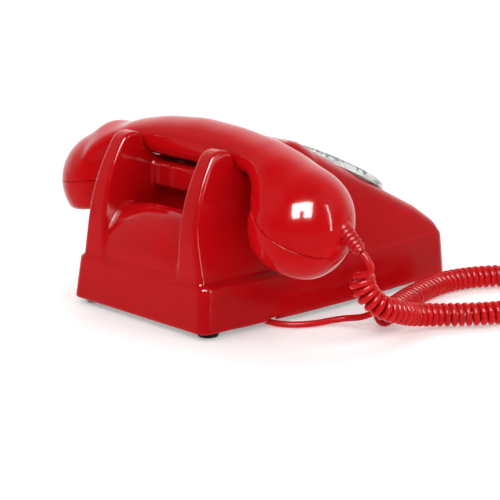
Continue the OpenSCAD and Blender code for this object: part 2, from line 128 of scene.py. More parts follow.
def surface_net(field, low, high, cell):
    """Points and quads where a field of x, y, z changes sign, one point in each cell that it crosses."""
    low = np.array(low, float)
    count = np.ceil((np.array(high, float) - low) / cell).astype(int) + 1
    axes = [low[a] + cell * np.arange(count[a]) for a in range(3)]
    values = field(axes[0][:, None, None], axes[1][None, :, None], axes[2][None, None, :])
    values = np.broadcast_to(values, tuple(count))
    inside = values < 0
    cells = tuple(count - 1)
    hits = np.zeros(cells)
    sums = [np.zeros(cells) for _ in range(3)]
    crossings = []
    for a in range(3):
        b, c = (a + 1) % 3, (a + 2) % 3
        first, second = [slice(None)] * 3, [slice(None)] * 3
        first[a], second[a] = slice(0, -1), slice(1, None)
        v0, v1 = values[tuple(first)], values[tuple(second)]
        hit = inside[tuple(first)] != inside[tuple(second)]
        share = np.where(hit, v0 / np.where(hit, v0 - v1, 1), 0)
        crossings.append((hit, inside[tuple(first)]))
        for ob in (0, 1):
            for oc in (0, 1):
                part = [slice(None)] * 3
                part[b], part[c] = slice(ob, ob + cells[b]), slice(oc, oc + cells[c])
                h = hit[tuple(part)]
                hits += h
                sums[a] += share[tuple(part)]
                sums[b] += h * ob
                sums[c] += h * oc
    live = hits > 0
    index = np.full(cells, -1)
    index[live] = np.arange(live.sum())
    corner = np.argwhere(live)
    points = np.stack([(corner[:, a] + sums[a][live] / hits[live]) * cell + low[a] for a in range(3)], 1)
    quads = []
    for a in range(3):
        b, c = (a + 1) % 3, (a + 2) % 3
        hit, below = crossings[a]
        at = np.argwhere(hit)
        keep = (at[:, b] > 0) & (at[:, c] > 0) & (at[:, b] < cells[b]) & (at[:, c] < cells[c])
        at = at[keep]
        flip = ~below[tuple(at.T)]
        corners = []
        for ob, oc in ((1, 1), (0, 1), (0, 0), (1, 0)):
            q = at.copy()
            q[:, b] -= ob
            q[:, c] -= oc
            corners.append(index[tuple(q.T)])
        quad = np.stack(corners, 1)
        quad[flip] = quad[flip][:, ::-1]
        quads.append(quad)
    return points, np.concatenate(quads)


def onto_surface(field, points, cell, steps=3):
    """Moves points onto the field's zero along its slope."""
    reach = 0.04
    for _ in range(steps):
        x, y, z = points.T
        value = field(x, y, z)
        slope = np.stack([
            field(x + reach, y, z) - field(x - reach, y, z),
            field(x, y + reach, z) - field(x, y - reach, z),
            field(x, y, z + reach) - field(x, y, z - reach)], 1) / (2 * reach)
        size = np.maximum((slope ** 2).sum(1), 0.05)
        step = slope * (value / size)[:, None]
        far = np.maximum(np.linalg.norm(step, axis=1) / (0.4 * cell), 1)
        points = points - step / far[:, None]
    return points


def evened(points, quads):
    """Each point moved half way to the middle of its neighbours."""
    total = np.zeros_like(points)
    n = len(points)
    number = np.bincount(quads.ravel(), minlength=n) * 2.0
    for k in range(4):
        for other in (quads[:, (k + 1) % 4], quads[:, (k - 1) % 4]):
            for a in range(3):
                total[:, a] += np.bincount(quads[:, k], weights=points[other, a], minlength=n)
    return 0.5 * points + 0.5 * total / np.maximum(number, 1)[:, None]


def solid(name, field, low, high, cell, matrix=None, rounds=2, sharp=None):
    """A mesh of the space where the field is below zero, with evenly spaced points on its surface."""
    points, quads = surface_net(field, low, high, cell)
    for _ in range(rounds):
        points = onto_surface(field, evened(points, quads), cell)
    piece = add_mesh(name, points, quads.tolist(), matrix)
    if sharp:
        piece.data.set_sharp_from_angle(angle=math.radians(sharp))
    return piece


def filleted(points, radius, steps=4):
    """A closed outline with each corner replaced by a short curve."""
    out = []
    n = len(points)
    for i in range(n):
        before, here, after = (Vector(points[(i + k) % n]) for k in (-1, 0, 1))
        a, b = before - here, after - here
        cut = min(radius, 0.45 * a.length, 0.45 * b.length)
        start, end = here + a.normalized() * cut, here + b.normalized() * cut
        for k in range(steps + 1):
            t = k / steps
            out.append(tuple((1 - t) ** 2 * start + 2 * t * (1 - t) * here + t * t * end))
    return out


def spin(name, outline, matrix=None, segments=96):
    """A turned piece: a closed outline of (radius, height) swept round the Z axis."""
    n = len(outline)
    points = [(r * math.cos(a), r * math.sin(a), z)
              for a in (2 * math.pi * k / segments for k in range(segments)) for r, z in outline]
    faces = []
    for k in range(segments):
        m = (k + 1) % segments
        for i in range(n):
            j = (i + 1) % n
            if outline[i][0] < 1e-6 and outline[j][0] < 1e-6:
                continue
            faces.append((k * n + i, m * n + i, m * n + j, k * n + j))
    piece = add_mesh(name, points, faces, matrix)
    merge_points(piece)
    return piece


def merge_points(piece):
    """Joins the points that a turned piece has on its axis, and turns its faces outwards."""
    work = bmesh.new()
    work.from_mesh(piece.data)
    bmesh.ops.remove_doubles(work, verts=work.verts, dist=1e-6)
    bmesh.ops.dissolve_degenerate(work, edges=work.edges, dist=1e-7)
    bmesh.ops.recalc_face_normals(work, faces=work.faces)
    work.to_mesh(piece.data)
    work.free()


# Materials ---------------------------------------------------------------------------------
def material(name, colour, rough=(0.1, 0.18), grain=900, bump=0.02, shade=0.06, **fixed):
    """A shader whose colour, roughness and fine bump come from noise in the object's own space."""
    made = bpy.data.materials.new(name)
    made.use_nodes = True
    nodes, links = made.node_tree.nodes, made.node_tree.links
    shader = nodes["Principled BSDF"]
    for socket, value in fixed.items():
        shader.inputs[socket.replace("_", " ")].default_value = value
    place = nodes.new("ShaderNodeTexCoord")

    def noise(scale, detail):
        made_noise = nodes.new("ShaderNodeTexNoise")
        made_noise.inputs["Scale"].default_value = scale
        made_noise.inputs["Detail"].default_value = detail
        links.new(place.outputs["Object"], made_noise.inputs["Vector"])
        return made_noise.outputs["Fac"]

    def ramp(source, low, high, start=0.35, end=0.65):
        made_ramp = nodes.new("ShaderNodeMapRange")
        made_ramp.inputs["From Min"].default_value = start
        made_ramp.inputs["From Max"].default_value = end
        made_ramp.inputs["To Min"].default_value = low
        made_ramp.inputs["To Max"].default_value = high
        links.new(source, made_ramp.inputs["Value"])
        return made_ramp.outputs["Result"]

    mix = nodes.new("ShaderNodeMix")
    mix.data_type = "RGBA"
    mix.inputs["A"].default_value = (*[c * (1 - shade) for c in colour], 1)
    mix.inputs["B"].default_value = (*[min(c * (1 + shade), 1) for c in colour], 1)
    links.new(ramp(noise(14, 3), 0, 1), mix.inputs["Factor"])
    links.new(mix.outputs["Result"], shader.inputs["Base Color"])
    links.new(ramp(noise(60, 4), *rough), shader.inputs["Roughness"])
    relief = nodes.new("ShaderNodeBump")
    relief.inputs["Strength"].default_value = bump
    relief.inputs["Distance"].default_value = 0.0002
    links.new(noise(grain, 2), relief.inputs["Height"])
    links.new(relief.outputs["Normal"], shader.inputs["Normal"])
    return made


RED = (0.5, 0.0022, 0.0045)
shell_red = material("shell_red", RED, rough=(0.1, 0.16), bump=0.008, IOR=1.46,
                     Coat_Weight=0.25, Coat_Roughness=0.03)
handset_red = material("handset_red", (0.56, 0.0026, 0.005), rough=(0.1, 0.15), bump=0.006, IOR=1.46,
                       Coat_Weight=0.3, Coat_Roughness=0.03)
cord_red = material("cord_red", (0.62, 0.006, 0.009), rough=(0.2, 0.3), grain=1500, bump=0.04, IOR=1.46,
                    Specular_IOR_Level=0.3)
relief_red = material("relief_red", (0.58, 0.006, 0.009), rough=(0.25, 0.35), grain=1500, bump=0.05,
                      IOR=1.46, Specular_IOR_Level=0.3)
rubber = material("foot_rubber", (0.012, 0.012, 0.013), rough=(0.55, 0.75), grain=2500, bump=0.2,
                  shade=0.3)
black = material("black_moulding", (0.02, 0.02, 0.022), rough=(0.3, 0.45), grain=1800, bump=0.08, shade=0.2)
ring_clear = material("ring_clear", (0.95, 0.97, 0.955), rough=(0.02, 0.08), bump=0.02, shade=0.02,
                      IOR=1.49, Transmission_Weight=0.9)
wheel_clear = material("wheel_clear", (0.95, 0.97, 0.95), rough=(0.02, 0.06), bump=0.01, shade=0.02,
                       IOR=1.49, Transmission_Weight=0.92)
ink = material("character_ink", (0.16, 0.22, 0.19), rough=(0.4, 0.5), shade=0.2)
chrome = material("chrome", (0.78, 0.79, 0.8), rough=(0.05, 0.12), grain=1500, bump=0.02, shade=0.03,
                  Metallic=1.0)
steel = material("steel_sheet", (0.56, 0.57, 0.58), rough=(0.28, 0.42), grain=1200, bump=0.1, shade=0.08,
                 Metallic=1.0)
brass = material("brass_parts", (0.62, 0.43, 0.17), rough=(0.2, 0.35), grain=1200, bump=0.06, shade=0.1,
                 Metallic=1.0)
copper = material("copper_winding", (0.5, 0.2, 0.08), rough=(0.3, 0.45), grain=2600, bump=0.3, shade=0.15,
                  Metallic=0.7)
card = material("printed_card", (0.83, 0.83, 0.8), rough=(0.45, 0.6), grain=2200, bump=0.12, shade=0.03)
plate_white = material("plate_white", (0.85, 0.86, 0.84), rough=(0.2, 0.3), bump=0.03, shade=0.03)
plunger_clear = material("plunger_clear", (0.88, 0.9, 0.88), rough=(0.1, 0.18), bump=0.02, shade=0.03,
                         IOR=1.49, Transmission_Weight=0.6)
board = material("board_laminate", (0.2, 0.1, 0.03), rough=(0.35, 0.5), grain=1200, bump=0.1, shade=0.2)

SLOT_LOOKS = {
    "red_shell": shell_red, "red_handset": handset_red, "base_steel": steel, "foot_rubber": rubber,
    "bright_steel": steel, "black_plastic": black, "clear_ring": ring_clear, "white_plate": plate_white,
    "chrome_trim": chrome, "brass_parts": brass, "clear_wheel": wheel_clear, "label_card": card,
    "clear_plunger": plunger_clear, "board": board, "can_metal": steel, "gong_brass": brass,
    "copper_winding": copper, "red_rubber": relief_red, "red_cord": cord_red}


def dress(piece, look, body, slot, *nodes):
    """Gives a piece its material and its body, and hides the CAD nodes that it stands for; the slot is not
    used.
    """
    piece.data.materials.clear()
    piece.data.materials.append(look)
    if body:
        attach(piece, body)
    if nodes:
        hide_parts(*nodes)
    return piece


# Handset cord ------------------------------------------------------------------------------
CORD_D = 4.0
CURL_R = 5.25
# How much wider the coil starts, at the handset
FIRST_LOOP = 1.6
CURL_PITCH = 4.42
TURN_POINTS = 14
TUBE_SIDES = 10
LEAD_ROUTE = [(-126.5, 45.6, 55.2), (-130, 44.6, 51.5), (-133, 43.5, 47), (-134.2, 42.5, 42.5)]
CURL_ROUTE = [
    (-123.5, 43, 42), (-124.5, 42, 35), (-127.5, 38.5, 27), (-131, 31, 20.5), (-131, 17, 15),
    (-128, 3, 10.5), (-131, -11, 8.2), (-138, -23, 7.6), (-147, -36, 7.5), (-154, -50, 7.5),
    (-161, -68, 7.5), (-163, -88, 7.5), (-159, -107, 7.5), (-149, -123, 7.5), (-134, -132, 7.5),
    (-117, -131, 7.5), (-103, -122, 7.5), (-93, -109, 7.5), (-86, -94, 7.5), (-83, -76, 7.5),
    (-86, -56, 7.5), (-92, -36, 7.5), (-99, -17, 7.5), (-106, -1, 7.5), (-111, 12, 7.5)]
TAIL_ROUTE = [(-103, 17.5, 6), (-97, 19, 5), (-92, 21, 4.2), (-86, 29, 3), (-82, 40, 2.4),
              (-76, 50, 2.3), (-68, 55.5, 2.3), (-58, 57, 2.3), (-44, 57, 2.3)]


def along(route, step):
    """Points a step apart on the smooth curve through the route."""
    p = np.array(route, float)
    fine = []
    for i in range(len(p) - 1):
        a, b, c, d = p[max(i - 1, 0)], p[i], p[i + 1], p[min(i + 2, len(p) - 1)]
        for t in np.arange(0, 1, 0.02):
            fine.append(0.5 * (2 * b + (c - a) * t + (2 * a - 5 * b + 4 * c - d) * t * t
                               + (3 * b - a - 3 * c + d) * t ** 3))
    fine = np.array([*fine, p[-1]])
    run = np.concatenate([[0], np.cumsum(np.linalg.norm(np.diff(fine, axis=0), axis=1))])
    at = np.linspace(0, run[-1], max(int(run[-1] / step), 2) + 1)
    return np.stack([np.interp(at, run, fine[:, a]) for a in range(3)], 1), run[-1]


def carried_frames(points, start):
    """An across vector for each point, carried along the line without twist."""
    way = np.gradient(points, axis=0)
    way /= np.linalg.norm(way, axis=1)[:, None]
    across = np.array(start, float)
    out = []
    for w in way:
        across = across - w * (across @ w)
        across /= np.linalg.norm(across)
        out.append(across)
    return way, np.array(out)


def cord_path():
    """The cord's middle line: the straight lead, the curls and the tail, smooth where they join."""
    lead, _ = along(LEAD_ROUTE, 1.2)
    middle, length = along(CURL_ROUTE, 400 / (90 * TURN_POINTS))
    turns = round(length / CURL_PITCH)
    middle, _ = along(CURL_ROUTE, length / (turns * TURN_POINTS))
    way, across = carried_frames(middle, (-1, 0.35, 0))
    up = np.cross(way, across)
    phase = 2 * math.pi * np.arange(len(middle)) / TURN_POINTS
    wide = CURL_R + FIRST_LOOP * np.exp(-np.arange(len(middle)) / (2.0 * TURN_POINTS))[:, None]
    curl = middle + wide * (np.cos(phase)[:, None] * across + np.sin(phase)[:, None] * up)
    tail, _ = along(TAIL_ROUTE, 1.5)
    path = np.concatenate([lead, curl, tail])
    smooth = path.copy()
    for join in (len(lead), len(lead) + len(curl)):
        for _ in range(14):
            part = slice(max(join - 9, 1), join + 9)
            smooth[part] = (0.25 * smooth[join - 10:join + 8] + 0.5 * smooth[part]
                            + 0.25 * smooth[join - 8:join + 10])
    return smooth


def tube(name, path, radius, sides):
    """A closed tube with one ring of points at each point of the path."""
    way, across = carried_frames(path, (-1, 0.35, 0.2))
    up = np.cross(way, across)
    angle = 2 * math.pi * np.arange(sides) / sides
    rings = (path[:, None, :] + radius * (np.cos(angle)[None, :, None] * across[:, None, :]
                                          + np.sin(angle)[None, :, None] * up[:, None, :]))
    n = len(path)
    faces = [(i * sides + k, i * sides + (k + 1) % sides, (i + 1) * sides + (k + 1) % sides,
              (i + 1) * sides + k) for i in range(n - 1) for k in range(sides)]
    faces.append(tuple(range(sides - 1, -1, -1)))
    faces.append(tuple((n - 1) * sides + k for k in range(sides)))
    return add_mesh(name, rings.reshape(-1, 3), faces)


path = cord_path()
cord = tube("handset_cord", path, CORD_D / 2, TUBE_SIDES)
dress(cord, cord_red, None, "red_cord", "cord_lead", "cord_curl", "cord_tail")
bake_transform(cord)

# Housing -----------------------------------------------------------------------------------
HALF_D = 108.5
HAND_Y = 55.3
SKIRT_Z = 31
RIM_Z = 3.5
WALL = 2.6
FIN_GAP = 35
DIAL_AT = Vector((0, -41, 73))
DIAL_TILT = math.radians(28.5)
SLOPE = math.tan(DIAL_TILT)


def slope_z(y):
    return DIAL_AT.z + SLOPE * (y - DIAL_AT.y)


FRONT_EDGE = [(-HALF_D - 5, -16), (-HALF_D - 5, 24), (-HALF_D + 0.5, 25.5), (-HALF_D + 3.5, 31.5),
              (-HALF_D + 10, 38.5), (-84, slope_z(-84))]
BROW = [(10, slope_z(10)), (18, 104.2), (24, 105.6), (30, 105.6), (35.4, 103.5), (38, 100.5)]
SADDLE = [(HAND_Y + 18 * math.cos(math.radians(a)), 104.9 + 15 * math.sin(math.radians(a)))
          for a in range(200, 341, 10)]
FIN_REAR = [(73.5, 104), (76, 107), (80, 108), (85, 107.4), (89, 104.5), (93, 98), (97.5, 89),
            (101.5, 79), (104.5, 68), (106.5, 55), (107.5, SKIRT_Z), (HALF_D + 5, SKIRT_Z),
            (HALF_D + 5, -16)]
BULGE = [(79, 64), (81, 66.6), (84, 67.5)] + [
    (84 + 23 * math.cos(math.radians(a)), SKIRT_Z + 36.5 * math.sin(math.radians(a)))
    for a in range(80, -1, -10)]
BOX = [(39, 92), (42, 88), (64, 88), (66.5, 87), (67, 85), (67, 73.5), (66, 72.5), (58, 72.5),
       (57.5, 52), (60, 49.5), (76, 49.5), (78.5, 52)]
MID_REAR = [(HALF_D + 5, SKIRT_Z), (HALF_D + 5, -16)]
TABLE_STEP = 0.4
TABLE_LOW = (-132.0, -22.0)
TABLE_SIZE = (660, 380)


def outline_table(outline, softness):
    """Distance to a closed outline in the Y-Z plane on a fine grid, with its corners softened."""
    u = TABLE_LOW[0] + TABLE_STEP * np.arange(TABLE_SIZE[0])[:, None]
    v = TABLE_LOW[1] + TABLE_STEP * np.arange(TABLE_SIZE[1])[None, :]
    near = np.full(TABLE_SIZE, 1e9)
    inside = np.zeros(TABLE_SIZE, bool)
    for (ax, ay), (bx, by) in zip(outline, outline[1:] + outline[:1]):
        ex, ey = bx - ax, by - ay
        t = np.clip(((u - ax) * ex + (v - ay) * ey) / (ex * ex + ey * ey), 0, 1)
        near = np.minimum(near, (u - ax - t * ex) ** 2 + (v - ay - t * ey) ** 2)
        if ay != by:
            inside ^= ((ay > v) != (by > v)) & (u < ax + ex * (v - ay) / ey)
    table = np.sqrt(near) * np.where(inside, -1, 1)
    return blur(blur(table, softness / TABLE_STEP, 0), softness / TABLE_STEP, 1)


def look_up(table, y, z):
    """The table's value at y, z, between its points."""
    u, v = np.broadcast_arrays((y - TABLE_LOW[0]) / TABLE_STEP, (z - TABLE_LOW[1]) / TABLE_STEP)
    u = np.clip(u, 0, TABLE_SIZE[0] - 1.001)
    v = np.clip(v, 0, TABLE_SIZE[1] - 1.001)
    i, j = u.astype(int), v.astype(int)
    s, t = u - i, v - j
    return ((table[i, j] * (1 - s) + table[i + 1, j] * s) * (1 - t)
            + (table[i, j + 1] * (1 - s) + table[i + 1, j + 1] * s) * t)


FIN_TABLE = outline_table(FRONT_EDGE + BROW + SADDLE + FIN_REAR, 1.3)
MID_TABLE = outline_table(FRONT_EDGE + BROW + BOX + BULGE + MID_REAR, 1.1)
LEVEL_Z = np.arange(-20, 140, 0.5)


def level(heights, sizes, softness=8):
    return blur(np.interp(LEVEL_Z, heights, sizes), softness, 0)


UPPER_Z = [7.5, SKIRT_Z, 60, 116]
UPPER_INSET = level(UPPER_Z, [3.6, 6, 11.6, 17])
UPPER_FRONT = level(UPPER_Z, [-107.3, -106.7, -105.5, -104.5])
UPPER_REAR = level(UPPER_Z, [106.5, 106.9, 107.5, 108.5])
UPPER_CORNER = level(UPPER_Z, [10, 9, 8, 7])


# Rounding of the edge between the sides and the top, by distance to the rear
EDGE_ROUND = [(-95, -85, -60, -20, 5, 22, 34, 60, 75), (6, 7.5, 9, 13, 13, 6, 3.2, 3.2, 1.9)]
SKIRT_REAR_CORNER, UPPER_REAR_CORNER = 6, 3.2
RIB_X, RIB_Y, RIB_R = (17, 30), 66.6, 1.7


def plan(x, y, inset, front, rear, corner, rear_corner):
    """Distance to the rounded outline of one level."""
    corner = np.where(y > 0, rear_corner, corner)
    beside = np.abs(x) - (64 - 0.00044 * (y - 30) ** 2 - inset) + corner
    beyond = np.maximum(front - y, y - rear) + corner
    return (np.hypot(np.maximum(beside, 0), np.maximum(beyond, 0))
            + np.minimum(np.maximum(beside, beyond), 0) - corner)


def body_field(x, y, z):
    """The housing's outside, open downwards."""
    part = np.clip((z - RIM_Z) / (SKIRT_Z - RIM_Z), -0.3, 1.2)
    flare = 1.2 * (1 - part)
    skirt = plan(x, y, 1.9 * part - flare, -HALF_D + 1.7 * part, HALF_D + 1 - 1.6 * part + flare,
                 12 - part, SKIRT_REAR_CORNER)
    skirt = smax(skirt, z - SKIRT_Z, 2.0)
    ahead = np.clip((45 - y) / 55, 0, 1)
    fade = ahead * ahead * (3 - 2 * ahead) * 3.8 * np.clip((62 - z) / 31, 0, 1)
    upper = plan(x, y, np.interp(z, LEVEL_Z, UPPER_INSET) - fade, np.interp(z, LEVEL_Z, UPPER_FRONT),
                 np.interp(z, LEVEL_Z, UPPER_REAR), np.interp(z, LEVEL_Z, UPPER_CORNER),
                 UPPER_REAR_CORNER)
    fins = smax(look_up(FIN_TABLE, y, z), FIN_GAP - np.abs(x), 2.2)
    arch = 3.5 * np.clip((np.abs(x) - 8) / 27, 0, 1) ** 1.5 * np.clip((y - 70) / 6, 0, 1)
    side = smin(look_up(MID_TABLE, y, z + arch), fins, 2.0)
    upper = smax(upper, side, np.interp(y, *EDGE_ROUND))
    rib = np.inf
    for at in RIB_X:
        rib = np.minimum(rib, np.hypot(np.abs(x) - at, y - RIB_Y) - RIB_R)
    rib = np.maximum(rib, np.maximum(73.5 - z, z - 87))
    upper = smin(upper, rib, 0.8)
    return smin(skirt, upper, 2.4)


WELL_R, WELL_DEPTH = 42, 12
BORE_X, BORE_Y, BORE_R = 27, 49.5, 4.4
NOTCH_BOX = (-70, 54, -5), (-52, 60, 5)
SOCKET_BOX = (52, 71, 8), (80, 89, 22)


def box_field(x, y, z, low, high):
    """Distance to an upright box."""
    return np.maximum(np.maximum(np.maximum(low[0] - x, x - high[0]), np.maximum(low[1] - y, y - high[1])),
                      np.maximum(low[2] - z, z - high[2]))


def housing_field(x, y, z):
    """The shell with its dial well, plunger bores, cord notch and line socket."""
    outside = body_field(x, y, z)
    shell = smax(outside, -(outside + WALL), 0.5)
    shell = smax(shell, RIM_Z - z, 1.2)
    up = -(y - DIAL_AT.y) * math.sin(DIAL_TILT) + (z - DIAL_AT.z) * math.cos(DIAL_TILT)
    over = (y - DIAL_AT.y) * math.cos(DIAL_TILT) + (z - DIAL_AT.z) * math.sin(DIAL_TILT)
    well = np.maximum(np.hypot(x, over) - WELL_R, -WELL_DEPTH - up)
    shell = smax(shell, -well, 0.8)
    bores = np.maximum(np.hypot(np.abs(x) - BORE_X, y - BORE_Y) - BORE_R, 80 - z)
    shell = smax(shell, -bores, 0.6)
    notch = box_field(x, y, z, *NOTCH_BOX)
    socket = box_field(x, y, z, *SOCKET_BOX)
    return smax(smax(shell, -notch, 0.6), -socket, 0.6)


housing = solid("housing_shell", housing_field, (-68, -112, 1), (68, 114, 112), 1.25)
dress(housing, shell_red, "set", "red_shell", "housing")

# Handset -----------------------------------------------------------------------------------
# For each end: ball's centre x and z, its radius, the cap's tilt and the depth of the cap's face
ENDS = {-1: (-86, 64.6, 31.5, 29, 21), 1: (90, 66, 32.2, 10, 16.5)}
# For each end: centre x and z, and radius, of the ball where the handle's neck starts
NECKS = {-1: (-74, 83.5, 21), 1: (80, 84, 22)}
# How much smaller than its ball a neck ends
NECK_STEP = 0.8
# The fuller back of the mouth end, above its ball
HOOD_AT, HOOD_R = (-86, 52, 72), 27.5
SECTION_X = np.arange(-110, 110.5, 0.5)
# Where the handle's section is given: its top, its underside and its half width
SECTION_AT = [-92, -78, -72, -66, -60, -32, 0, 32, 60, 67, 74, 81, 96]


def section(sizes):
    """A size of the handle's section at each SECTION_X, smooth between the given ones."""
    return blur(np.interp(SECTION_X, SECTION_AT, sizes), 10, 0)


HANDLE_TOP = section([90, 103.2, 107.2, 110.0, 112, 116.4, 118, 115.4, 110, 106.5, 102, 96, 84])
HANDLE_LOW = section([70, 80, 84.5, 88.6, 90.8, 90.6, 90.6, 90.6, 90.8, 88.6, 84.5, 80, 70])
HANDLE_HALF = section([23, 21.2, 19.8, 18.2, 17, 15.6, 15.5, 15.6, 17, 18.2, 19.8, 21.2, 23])


def cone_field(u, v, w, a, b, ra, rb):
    """Distance to the hull of two balls whose centres a and b lie in the u-w plane."""
    bu, bw = b[0] - a[0], b[1] - a[1]
    length2 = bu * bu + bw * bw
    rr = ra - rb
    a2 = length2 - rr * rr
    pu, pw = u - a[0], w - a[1]
    y = pu * bu + pw * bw
    z = y - length2
    x2 = (pu * length2 - bu * y) ** 2 + (pw * length2 - bw * y) ** 2 + (v * length2) ** 2
    y2, z2 = y * y * length2, z * z * length2
    k = np.sign(rr) * rr * rr * x2
    end_b = np.sqrt(x2 + z2) / length2 - rb
    end_a = np.sqrt(x2 + y2) / length2 - ra
    side = (np.sqrt(x2 * a2 / length2) + y * rr) / length2 - ra
    return np.where(np.sign(z) * a2 * z2 > k, end_b, np.where(np.sign(y) * a2 * y2 < k, end_a, side))


def cap_place(end, x, y, z):
    """Distance along a cap's axis, and the two distances across it."""
    at_x, at_z, _, tilt, _ = ENDS[end]
    way = (-end * math.sin(math.radians(tilt)), -math.cos(math.radians(tilt)))
    u, w = x - at_x, z - at_z
    return u * way[0] + w * way[1], u * way[1] - w * way[0], y - HAND_Y


SEAM_DEPTH, SEAM_GAP, SEAM_REACH, SEAM_SHARP = 2.6, 0.1, 36, 35
CAP_HOLES = ((6, 8), (12, 15))
CAP_HOLE_R, CAP_HOLE_DEPTH = 1.5, 6


def handle_field(x, y, z):
    """The handle with its two ends, cut off where the caps begin."""
    top, low = np.interp(x, SECTION_X, HANDLE_TOP), np.interp(x, SECTION_X, HANDLE_LOW)
    half = np.interp(x, SECTION_X, HANDLE_HALF)
    middle, deep = (top + low) / 2, (top - low) / 2
    power = np.where(z > middle, 2.0, 2.25)
    ratio = (np.abs((y - HAND_Y) / half) ** power + np.abs((z - middle) / deep) ** power) ** (1 / power)
    body = smax((ratio - 1) * np.minimum(half, deep), np.abs(x - 2) - 82, 6)
    for end, (at_x, at_z, radius, _, _) in ENDS.items():
        neck = cone_field(x, y - HAND_Y, z, NECKS[end][:2], (at_x, at_z), NECKS[end][2],
                          radius - NECK_STEP)
        ball = np.sqrt((x - at_x) ** 2 + (y - HAND_Y) ** 2 + (z - at_z) ** 2) - radius
        body = smin(body, neck, 9)
        if end < 0:
            hood = np.sqrt(sum((a - b) ** 2 for a, b in zip((x, y, z), HOOD_AT))) - HOOD_R
            body = smin(body, hood, 9)
        body = smin(body, ball, 1.2)
    for end in ENDS:
        depth, across, side = cap_place(end, x, y, z)
        body = smax(body, -np.maximum(-SEAM_DEPTH - depth, np.hypot(across, side) - SEAM_REACH), 0.6)
    return body


def cap_field(end):
    """The field of a cap: the rest of the ball with a flat face and two rings of holes."""
    at_x, at_z, radius, _, face = ENDS[end]

    def field(x, y, z):
        depth, across, side = cap_place(end, x, y, z)
        ball = np.sqrt((x - at_x) ** 2 + (y - HAND_Y) ** 2 + (z - at_z) ** 2) - radius
        cap = smax(smax(ball, depth - face, 3.6), SEAM_GAP - SEAM_DEPTH - depth, 0.6)
        hole = np.hypot(across, side)
        for number, ring_r in CAP_HOLES:
            for k in range(number):
                turn = 2 * math.pi * k / number
                hole = np.minimum(hole, np.hypot(across - ring_r * math.cos(turn),
                                                 side - ring_r * math.sin(turn)))
        return smax(cap, -np.maximum(hole - CAP_HOLE_R, face - CAP_HOLE_DEPTH - depth), 0.7)

    return field


handle = solid("handset_body", handle_field, (-120, 20, 50), (125, 90, 121), 1.15, sharp=SEAM_SHARP)
dress(handle, handset_red, "handset", "red_handset", "handset_handle")
ear = solid("ear_cap_shell", cap_field(1), (55, 22, 44), (125, 89, 80), 0.8, sharp=SEAM_SHARP)
dress(ear, handset_red, "handset", "red_handset", "ear_cap")
mouth = solid("mouth_cap_shell", cap_field(-1), (-121, 22, 30), (-52, 89, 86), 0.8, sharp=SEAM_SHARP)
dress(mouth, handset_red, "handset", "red_handset", "mouth_cap")

# The ribbed sleeve round the cord where it leaves the mouth end
RELIEF_AT = Vector((-111, 49.5, 70.5))
RELIEF_TURN, RELIEF_TIP = 194, 134
RELIEF_RIBS, RIB_PITCH, RIB_TAPER = 6, 2.7, 0.22
RELIEF_LOW, RELIEF_HIGH = 1, 22
RELIEF_RIB = [(5.4, 4.2), (5.4, 6), (4.3, 6.3), (4.3, 6.8)]
relief_place = (Matrix.Translation(RELIEF_AT) @ Matrix.Rotation(math.radians(RELIEF_TURN), 4, "Z")
                @ Matrix.Rotation(math.radians(RELIEF_TIP), 4, "Y"))
relief_outline = [(5.2, RELIEF_LOW)]
for k in range(RELIEF_RIBS):
    relief_outline += [(r - RIB_TAPER * k, h + RIB_PITCH * k) for r, h in RELIEF_RIB]
relief_outline += [(3.1, RELIEF_HIGH)]
relief = spin("cord_sleeve", filleted(relief_outline, 0.45, 3) + [(0, RELIEF_HIGH), (0, RELIEF_LOW)],
              relief_place, 48)
dress(relief, relief_red, "handset", "red_rubber", "cord_relief")

# Dial --------------------------------------------------------------------------------------
dial_place = Matrix.Translation(DIAL_AT) @ Matrix.Rotation(DIAL_TILT, 4, "X")
HOLE_ANGLES = [25 + 30 * k for k in range(10)]
WHEEL_R, WHEEL_Z, WHEEL_HALF = 38, 3.2, 1.3
HOLE_RING_R, HOLE_R, SHAFT_R = 28.5, 6.75, 3.1
STOP_TURN = -35
ring = spin("number_ring_clear", filleted([
    (39.2, -0.2), (41.7, -0.2), (41.7, 0.3), (46.2, 0.3), (45.8, 1.6), (43.8, 4.8), (42.8, 5.2),
    (40.4, 4.4), (39.2, 3.8)], 0.45), dial_place, 160)
dress(ring, ring_clear, "set", "clear_ring", "number_ring")
backing = spin("ring_backing", filleted([(41.0, 0.5), (45.2, 0.5), (45.2, 0.8), (41.0, 0.8)], 0.1),
               dial_place, 128)
dress(backing, plate_white, "set", "white_plate")


def wheel_field(x, y, z):
    """The clear finger wheel with its ten holes, flat at the middle of the dial."""
    disc = smax(np.hypot(x, y) - WHEEL_R, np.abs(z - WHEEL_Z) - WHEEL_HALF, 1.2)
    for a in (math.radians(angle) for angle in HOLE_ANGLES):
        hole = np.hypot(x - HOLE_RING_R * math.cos(a), y - HOLE_RING_R * math.sin(a)) - HOLE_R
        disc = smax(disc, -hole, 1.1)
    return smax(disc, SHAFT_R - np.hypot(x, y), 0.5)


wheel = solid("finger_wheel_clear", wheel_field, (-39, -39, 1), (39, 39, 5.4), 0.45, dial_place)
dress(wheel, wheel_clear, "dial", "clear_wheel", "finger_wheel")
boss = spin("wheel_boss_chrome", filleted([
    (SHAFT_R, 4.5), (19, 4.5), (18.4, 6.0), (16.6, 6.5), (15.6, 5.9), (SHAFT_R, 5.9)], 0.4), dial_place, 128)
dress(boss, chrome, "dial", "chrome_trim", "wheel_boss")


def stop_field(x, y, z):
    """The finger stop in its own place: X runs out from the middle of the dial."""
    arch = 6.1 - 0.9 * np.clip((x - 40) / 5.5, 0, 1) ** 2
    width = 1.5 + 1.3 * np.clip((x - 24) / 12, 0, 1)
    return smax(smax(np.abs(y) - width, np.abs(z - arch) - 0.7, 0.6), np.abs(x - 34.8) - 10.7, 1.0)


